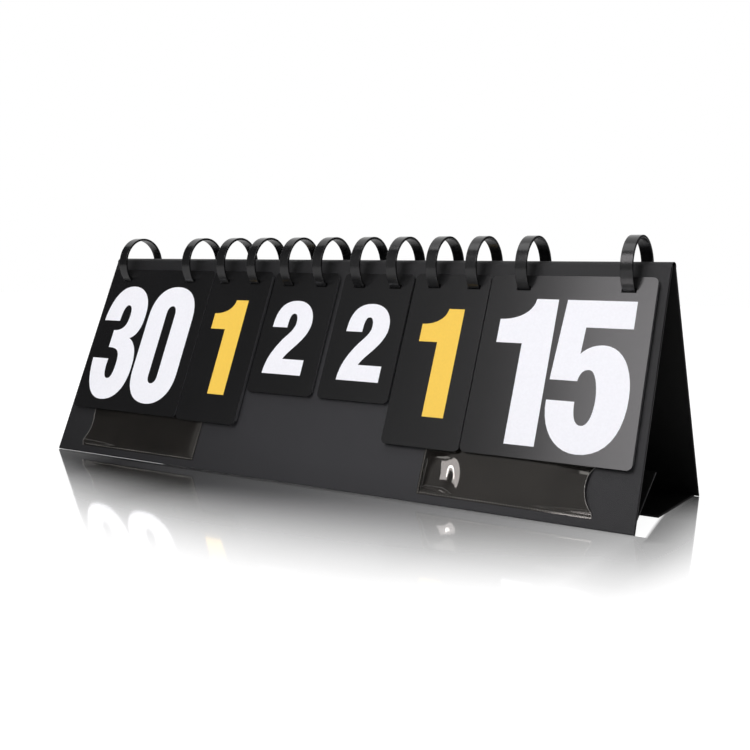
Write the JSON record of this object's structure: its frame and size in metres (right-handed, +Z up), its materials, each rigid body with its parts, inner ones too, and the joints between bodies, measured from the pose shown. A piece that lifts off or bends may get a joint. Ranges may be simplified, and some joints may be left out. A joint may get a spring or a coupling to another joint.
{
  "type": "tabletop flip scoreboard",
  "caption": "Folding tabletop scoreboard: a covered board tent with number leaves that flip over its ridge on flat rings, base flaps and clear name pockets.",
  "frame": {"origin": "on the table under the middle of the ridge", "axes": "+X along the board to the viewer's right, -Y towards the viewer, +Z up"},
  "size_m": [0.6, 0.1666, 0.2165],
  "materials": {
    "leatherette": "matte grained vinyl",
    "lining": "matte grained vinyl",
    "grey_board": "raw grey board",
    "leaf": "satin",
    "ring": "satin moulded plastic",
    "clear_film": "clear glossy film",
    "tape": "woven hook and loop tape"
  },
  "bodies": {
    "front_board": {"front_board_core": "grey_board", "front_board_cover": "leatherette", "front_board_lining": "lining", "spine_strip": "leatherette", "front_flap_crease": "leatherette", "home_name_pocket": "clear_film", "home_score_leaves_waiting": "leaf", "home_sets_leaves_waiting": "leaf", "home_fouls_leaves_waiting": "leaf", "guest_name_pocket": "clear_film", "guest_score_leaves_waiting": "leaf", "guest_sets_leaves_waiting": "leaf", "guest_fouls_leaves_waiting": "leaf"},
    "rear_board": {"rear_board_core": "grey_board", "rear_board_cover": "leatherette", "rear_board_lining": "lining", "base_flap_crease": "leatherette", "home_score_leaves_turned": "leaf", "home_sets_leaves_turned": "leaf", "home_fouls_leaves_turned": "leaf", "guest_score_leaves_turned": "leaf", "guest_sets_leaves_turned": "leaf", "guest_fouls_leaves_turned": "leaf"},
    "front_flap": {"front_flap_core": "grey_board", "front_flap_cover": "leatherette", "front_flap_lining": "lining", "hook_tapes": "tape"},
    "base_flap": {"base_flap_core": "grey_board", "base_flap_cover": "leatherette", "base_flap_lining": "lining", "loop_tapes": "tape"},
    "home_score_ring_pair": {"home_score_rings": "ring", "home_score_ring_links": "ring"},
    "home_score_leaf": {"home_score_leaf": "leaf"},
    "home_sets_ring_pair": {"home_sets_rings": "ring", "home_sets_ring_links": "ring"},
    "home_sets_leaf": {"home_sets_leaf": "leaf"},
    "home_fouls_ring_pair": {"home_fouls_rings": "ring", "home_fouls_ring_links": "ring"},
    "home_fouls_leaf": {"home_fouls_leaf": "leaf"},
    "guest_score_ring_pair": {"guest_score_rings": "ring", "guest_score_ring_links": "ring"},
    "guest_score_leaf": {"guest_score_leaf": "leaf"},
    "guest_sets_ring_pair": {"guest_sets_rings": "ring", "guest_sets_ring_links": "ring"},
    "guest_sets_leaf": {"guest_sets_leaf": "leaf"},
    "guest_fouls_ring_pair": {"guest_fouls_rings": "ring", "guest_fouls_ring_links": "ring"},
    "guest_fouls_leaf": {"guest_fouls_leaf": "leaf"}
  },
  "joints": [
    {"name": "tent_fold", "type": "hinge", "parent": "front_board", "child": "rear_board", "pos_m": [0, 0, 0.18999], "axis": [-1, 0, 0], "range_deg": [0, 44.23]},
    {"name": "front_flap_fold", "type": "hinge", "parent": "front_board", "child": "front_flap", "pos_m": [0, -0.07928, 0.001], "axis": [1, 0, 0], "range_deg": [0, 34.25]},
    {"name": "base_flap_fold", "type": "hinge", "parent": "rear_board", "child": "base_flap", "pos_m": [0, 0.07928, 0.001], "axis": [1, 0, 0], "range_deg": [0, 112.14]},
    {"name": "home_score_ring_turn", "type": "hinge", "parent": "front_board", "child": "home_score_ring_pair", "pos_m": [0, 0, 0.18999], "axis": [-1, 0, 0], "range_deg": [0, 267.02]},
    {"name": "home_score_leaf_swing", "type": "hinge", "parent": "home_score_ring_pair", "child": "home_score_leaf", "pos_m": [0, -0.01847, 0.17255], "axis": [-1, 0, 0], "range_deg": [0, 48.69]},
    {"name": "home_sets_ring_turn", "type": "hinge", "parent": "front_board", "child": "home_sets_ring_pair", "pos_m": [0, 0, 0.18999], "axis": [-1, 0, 0], "range_deg": [0, 274.35]},
    {"name": "home_sets_leaf_swing", "type": "hinge", "parent": "home_sets_ring_pair", "child": "home_sets_leaf", "pos_m": [0, -0.01847, 0.17255], "axis": [-1, 0, 0], "range_deg": [0, 41.36]},
    {"name": "home_fouls_ring_turn", "type": "hinge", "parent": "front_board", "child": "home_fouls_ring_pair", "pos_m": [0, 0, 0.18999], "axis": [-1, 0, 0], "range_deg": [0, 276.27]},
    {"name": "home_fouls_leaf_swing", "type": "hinge", "parent": "home_fouls_ring_pair", "child": "home_fouls_leaf", "pos_m": [0, -0.0173, 0.17139], "axis": [-1, 0, 0], "range_deg": [0, 39.44]},
    {"name": "guest_score_ring_turn", "type": "hinge", "parent": "front_board", "child": "guest_score_ring_pair", "pos_m": [0, 0, 0.18999], "axis": [-1, 0, 0], "range_deg": [0, 268.89]},
    {"name": "guest_score_leaf_swing", "type": "hinge", "parent": "guest_score_ring_pair", "child": "guest_score_leaf", "pos_m": [0, -0.01847, 0.17255], "axis": [-1, 0, 0], "range_deg": [0, 46.82]},
    {"name": "guest_sets_ring_turn", "type": "hinge", "parent": "front_board", "child": "guest_sets_ring_pair", "pos_m": [0, 0, 0.18999], "axis": [-1, 0, 0], "range_deg": [0, 274.35]},
    {"name": "guest_sets_leaf_swing", "type": "hinge", "parent": "guest_sets_ring_pair", "child": "guest_sets_leaf", "pos_m": [0, -0.01847, 0.17255], "axis": [-1, 0, 0], "range_deg": [0, 41.36]},
    {"name": "guest_fouls_ring_turn", "type": "hinge", "parent": "front_board", "child": "guest_fouls_ring_pair", "pos_m": [0, 0, 0.18999], "axis": [-1, 0, 0], "range_deg": [0, 276.27]},
    {"name": "guest_fouls_leaf_swing", "type": "hinge", "parent": "guest_fouls_ring_pair", "child": "guest_fouls_leaf", "pos_m": [0, -0.0173, 0.17139], "axis": [-1, 0, 0], "range_deg": [0, 39.44]}
  ],
  "couplings": [
    {"joint": "front_flap_fold", "follows": "tent_fold", "ratio": 0.77435},
    {"joint": "base_flap_fold", "follows": "tent_fold", "ratio": 2.5354},
    {"joint": "home_score_leaf_swing", "follows": "home_score_ring_turn", "ratio": 0.18233},
    {"joint": "home_sets_leaf_swing", "follows": "home_sets_ring_turn", "ratio": 0.15075},
    {"joint": "home_fouls_leaf_swing", "follows": "home_fouls_ring_turn", "ratio": 0.14277},
    {"joint": "guest_score_leaf_swing", "follows": "guest_score_ring_turn", "ratio": 0.17412},
    {"joint": "guest_sets_leaf_swing", "follows": "guest_sets_ring_turn", "ratio": 0.15075},
    {"joint": "guest_fouls_leaf_swing", "follows": "guest_fouls_ring_turn", "ratio": 0.14277}
  ]
}
